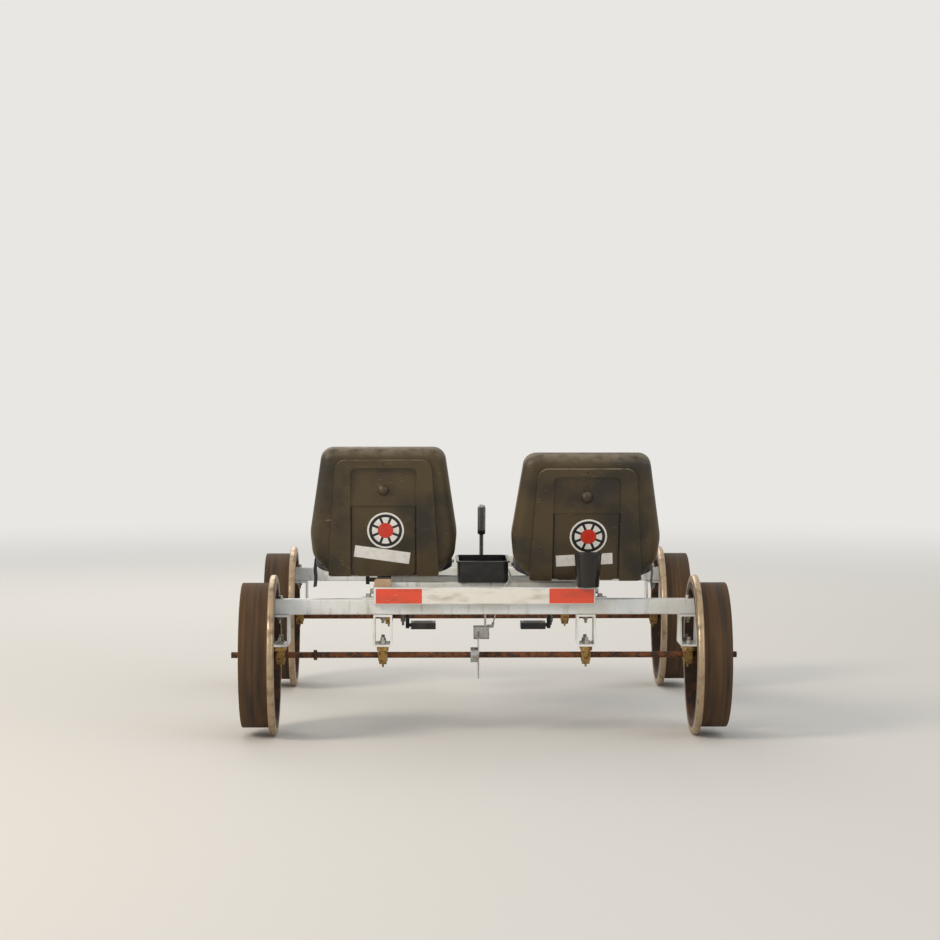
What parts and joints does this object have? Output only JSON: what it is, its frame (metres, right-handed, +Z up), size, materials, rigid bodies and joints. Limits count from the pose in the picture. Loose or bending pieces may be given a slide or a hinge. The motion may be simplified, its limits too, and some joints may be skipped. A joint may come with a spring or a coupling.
{
  "type": "two-seat pedal railcar",
  "caption": "Side-by-side pedal railcar for standard-gauge track: tube frame, flanged wheels, sliding reclining seats.",
  "frame": {"origin": "on the floor under the wheel flanges, midway between the axles and between the wheels", "axes": "+X to the riders' right, +Y forwards, +Z up"},
  "size_m": [1.68, 1.932, 0.9532],
  "materials": {
    "white_paint": "weathered gloss",
    "bearing_iron": "dusty cast",
    "primed_plate": "dusty tan primer",
    "rusty_steel": "rusty bar",
    "wheel_steel": "worn dark paint",
    "tread_rubber": "dusty rubber",
    "zinc_steel": "zinc plate",
    "chain_steel": "oiled",
    "crank_alloy": "black satin",
    "pedal_plastic": "moulded",
    "shell_plastic": "weathered, moulded",
    "black_plastic": "moulded",
    "seat_vinyl": "grained vinyl",
    "belt_webbing": "woven",
    "cable_jacket": "smooth"
  },
  "bodies": {
    "frame": {"rear_beam": "white_paint", "front_beam": "white_paint", "left_boom": "white_paint", "right_boom": "white_paint", "rear_bumper": "white_paint", "front_bumper": "white_paint", "cross_bars": "white_paint", "rear_hangers": "white_paint", "front_hangers": "white_paint", "rear_bearings": "bearing_iron", "front_bearings": "bearing_iron", "bottom_brackets": "white_paint", "left_chain": "chain_steel", "right_chain": "chain_steel", "rail_plates": "zinc_steel", "seat_rails": "zinc_steel", "boom_end_plates": "primed_plate", "centre_tray": "black_plastic", "brake_caliper": "zinc_steel", "brake_lever": "zinc_steel", "brake_cable": "cable_jacket", "rear_cup": "black_plastic", "cup_bracket": "zinc_steel"},
    "rear_wheelset": {"rear_axle": "rusty_steel", "rear_left_wheel": "wheel_steel", "rear_right_wheel": "wheel_steel", "rear_tyres": "tread_rubber", "brake_disc": "zinc_steel"},
    "front_wheelset": {"front_axle": "rusty_steel", "front_left_wheel": "wheel_steel", "front_right_wheel": "wheel_steel", "front_tyres": "tread_rubber", "drive_sprockets": "chain_steel"},
    "left_crank": {"left_crankset": "crank_alloy"},
    "right_crank": {"right_crankset": "crank_alloy"},
    "left_inner_pedal": {"left_inner_pedal": "pedal_plastic"},
    "left_outer_pedal": {"left_outer_pedal": "pedal_plastic"},
    "right_inner_pedal": {"right_inner_pedal": "pedal_plastic"},
    "right_outer_pedal": {"right_outer_pedal": "pedal_plastic"},
    "left_seat": {"left_seat_pan": "shell_plastic", "left_seat_cushion": "seat_vinyl", "left_lap_belt": "belt_webbing"},
    "right_seat": {"right_seat_pan": "shell_plastic", "right_seat_cushion": "seat_vinyl", "right_lap_belt": "belt_webbing"},
    "left_back": {"left_seat_back": "shell_plastic", "left_back_cushion": "seat_vinyl"},
    "right_back": {"right_seat_back": "shell_plastic", "right_back_cushion": "seat_vinyl"}
  },
  "joints": [
    {"name": "rear_wheels_turn", "type": "hinge", "parent": "frame", "child": "rear_wheelset", "pos_m": [0, -0.7, 0.266], "axis": [1, 0, 0], "continuous": true},
    {"name": "front_wheels_turn", "type": "hinge", "parent": "frame", "child": "front_wheelset", "pos_m": [0, 0.7, 0.266], "axis": [1, 0, 0], "continuous": true},
    {"name": "left_crank_turn", "type": "hinge", "parent": "frame", "child": "left_crank", "pos_m": [-0.337, 0.42, 0.4281], "axis": [1, 0, 0], "continuous": true},
    {"name": "left_inner_pedal_turn", "type": "hinge", "parent": "left_crank", "child": "left_inner_pedal", "pos_m": [-0.213, 0.42, 0.2581], "axis": [1, 0, 0], "continuous": true},
    {"name": "left_outer_pedal_turn", "type": "hinge", "parent": "left_crank", "child": "left_outer_pedal", "pos_m": [-0.461, 0.42, 0.5981], "axis": [1, 0, 0], "continuous": true},
    {"name": "right_crank_turn", "type": "hinge", "parent": "frame", "child": "right_crank", "pos_m": [0.337, 0.42, 0.4281], "axis": [1, 0, 0], "continuous": true},
    {"name": "right_inner_pedal_turn", "type": "hinge", "parent": "right_crank", "child": "right_inner_pedal", "pos_m": [0.213, 0.42, 0.2581], "axis": [1, 0, 0], "continuous": true},
    {"name": "right_outer_pedal_turn", "type": "hinge", "parent": "right_crank", "child": "right_outer_pedal", "pos_m": [0.461, 0.42, 0.5981], "axis": [1, 0, 0], "continuous": true},
    {"name": "left_seat_slide", "type": "slide", "parent": "frame", "child": "left_seat", "axis": [0, 1, 0], "range_m": [-0.175, 0.02]},
    {"name": "left_back_recline", "type": "hinge", "parent": "left_seat", "child": "left_back", "pos_m": [-0.337, -0.5, 0.5659], "axis": [1, 0, 0], "range_deg": [-8, 12]},
    {"name": "right_seat_slide", "type": "slide", "parent": "frame", "child": "right_seat", "axis": [0, 1, 0], "range_m": [-0.015, 0.18]},
    {"name": "right_back_recline", "type": "hinge", "parent": "right_seat", "child": "right_back", "pos_m": [0.337, -0.66, 0.5659], "axis": [1, 0, 0], "range_deg": [-18, 2]}
  ]
}
